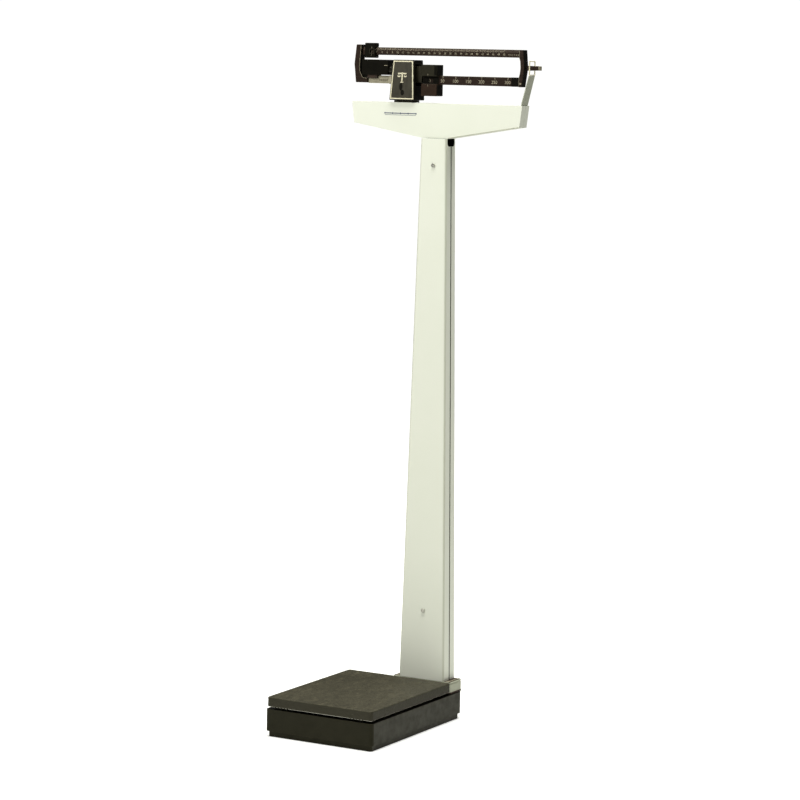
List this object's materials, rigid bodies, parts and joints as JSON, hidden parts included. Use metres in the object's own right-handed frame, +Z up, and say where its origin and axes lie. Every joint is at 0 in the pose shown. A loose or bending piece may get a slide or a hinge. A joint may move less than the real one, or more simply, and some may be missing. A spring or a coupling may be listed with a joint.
{
  "type": "physician's mechanical column scale",
  "caption": "Standing mechanical weighing scale: low platform on a lever base, tapered column, long housing on top and a two-bar balance beam with sliding poises.",
  "frame": {"origin": "on the floor, at the centre of the base's footprint", "axes": "+Z up; +X to the reader's right, along the beam; +Y to the back, where the column stands"},
  "size_m": [0.467, 0.414, 1.52],
  "materials": {
    "black_enamel": "semi-gloss black enamel",
    "cast_iron": "rough casting, dark grey",
    "white_enamel": "off-white enamel, slightly warm",
    "rubber": "pebbled dark mat",
    "steel": "plain steel",
    "chrome": "bright plated",
    "bar_enamel": "dark brown-black with cream scale marks",
    "black_plastic": "black, fine texture",
    "ivory_plastic": "ivory"
  },
  "bodies": {
    "base": {"base_pan": "cast_iron", "base_shell": "black_enamel", "column_pedestal": "cast_iron", "column_plinth": "white_enamel", "lever_stand_front_left": "steel", "lever_stand_front_right": "steel", "lever_stand_rear_left": "steel", "lever_stand_rear_right": "steel", "column_front": "white_enamel", "column_rear": "white_enamel", "column_screw_upper": "steel", "column_screw_lower": "steel", "column_tie_upper": "steel", "column_tie_lower": "steel", "column_head_bracket": "steel", "housing_front": "white_enamel", "housing_rear": "white_enamel", "shelf_bar": "steel", "shelf_lever_stand": "steel", "trig_arm": "white_enamel", "trig_loop": "chrome", "fulcrum_stand": "cast_iron", "fulcrum_cover": "black_plastic", "badge_frame": "chrome"},
    "platform": {"platform_frame": "steel", "platform_cover": "black_enamel", "platform_mat": "rubber", "platform_foot_front_left": "steel", "platform_foot_front_right": "steel", "platform_foot_rear_left": "steel", "platform_foot_rear_right": "steel"},
    "long_lever": {"long_lever": "cast_iron", "long_lever_fulcrum_pivot_left": "steel", "long_lever_load_pivot_left": "steel", "long_lever_fulcrum_pivot_right": "steel", "long_lever_load_pivot_right": "steel"},
    "short_lever": {"short_lever": "cast_iron", "short_lever_fulcrum_pivot_left": "steel", "short_lever_load_pivot_left": "steel", "short_lever_fulcrum_pivot_right": "steel", "short_lever_load_pivot_right": "steel"},
    "lever_link": {"lever_link": "steel"},
    "draft_rod": {"draft_rod": "steel"},
    "shelf_lever": {"shelf_lever": "steel"},
    "beam_link": {"beam_link": "steel"},
    "beam": {"beam_left_plate": "bar_enamel", "beam_right_plate": "bar_enamel", "upper_bar": "bar_enamel", "lower_bar": "bar_enamel", "left_rail": "steel", "beam_block": "cast_iron", "beam_fulcrum_pivot": "steel", "beam_load_pivot": "steel", "counterweight_box": "black_plastic", "pointer": "bar_enamel", "pointer_tip": "ivory_plastic"},
    "balance_weight": {"balance_weight": "cast_iron"},
    "zero_knob": {"zero_knob": "black_plastic"},
    "small_poise": {"small_poise": "black_plastic"},
    "large_poise": {"large_poise": "bar_enamel"}
  },
  "joints": [
    {"name": "beam_tilt", "type": "hinge", "parent": "base", "child": "beam", "pos_m": [-0.022, 0.1765, 1.4605], "axis": [0, -1, 0], "range_deg": [-1.25, 1.25]},
    {"name": "large_poise_slide", "type": "slide", "parent": "beam", "child": "large_poise", "axis": [1, 0, 0], "range_m": [0, 0.1953]},
    {"name": "small_poise_slide", "type": "slide", "parent": "beam", "child": "small_poise", "axis": [1, 0, 0], "range_m": [0, 0.336]},
    {"name": "balance_weight_slide", "type": "slide", "parent": "beam", "child": "balance_weight", "axis": [1, 0, 0], "range_m": [-0.01, 0.01]},
    {"name": "zero_knob_turn", "type": "hinge", "parent": "beam", "child": "zero_knob", "pos_m": [-0.065, 0.1765, 1.4595], "axis": [1, 0, 0], "range_deg": [-3636, 3636]},
    {"name": "beam_link_slide", "type": "slide", "parent": "base", "child": "beam_link", "axis": [0, 0, -1], "range_m": [-0.00026442, 0.00026442]},
    {"name": "shelf_lever_tilt", "type": "hinge", "parent": "base", "child": "shelf_lever", "pos_m": [0.2, 0.1765, 1.358], "axis": [0, -1, 0], "range_deg": [-0.064744, 0.064744]},
    {"name": "draft_rod_slide", "type": "slide", "parent": "base", "child": "draft_rod", "axis": [0, 0, -1], "range_m": [-0.00016159, 0.00016159]},
    {"name": "long_lever_tilt", "type": "hinge", "parent": "base", "child": "long_lever", "pos_m": [0, -0.15, 0.019], "axis": [-1, 0, 0], "range_deg": [-0.028356, 0.028356]},
    {"name": "lever_link_slide", "type": "slide", "parent": "base", "child": "lever_link", "axis": [0, 0, -1], "range_m": [-0.00007176, 0.00007176]},
    {"name": "short_lever_tilt", "type": "hinge", "parent": "base", "child": "short_lever", "pos_m": [0, 0.14, 0.035], "axis": [1, 0, 0], "range_deg": [-0.028356, 0.028356]},
    {"name": "platform_travel", "type": "slide", "parent": "base", "child": "platform", "axis": [0, 0, -1], "range_m": [-0.00001485, 0.00001485]}
  ],
  "couplings": [
    {"joint": "zero_knob_turn", "follows": "balance_weight_slide", "rad_per_m": 6283.2},
    {"joint": "beam_link_slide", "follows": "beam_tilt", "m_per_rad": 0.012},
    {"joint": "shelf_lever_tilt", "follows": "beam_tilt", "ratio": 0.051282},
    {"joint": "draft_rod_slide", "follows": "beam_tilt", "m_per_rad": 0.0073333},
    {"joint": "long_lever_tilt", "follows": "beam_tilt", "ratio": 0.02246},
    {"joint": "lever_link_slide", "follows": "beam_tilt", "m_per_rad": 0.0032567},
    {"joint": "short_lever_tilt", "follows": "beam_tilt", "ratio": 0.02246},
    {"joint": "platform_travel", "follows": "beam_tilt", "m_per_rad": 0.0006738}
  ]
}
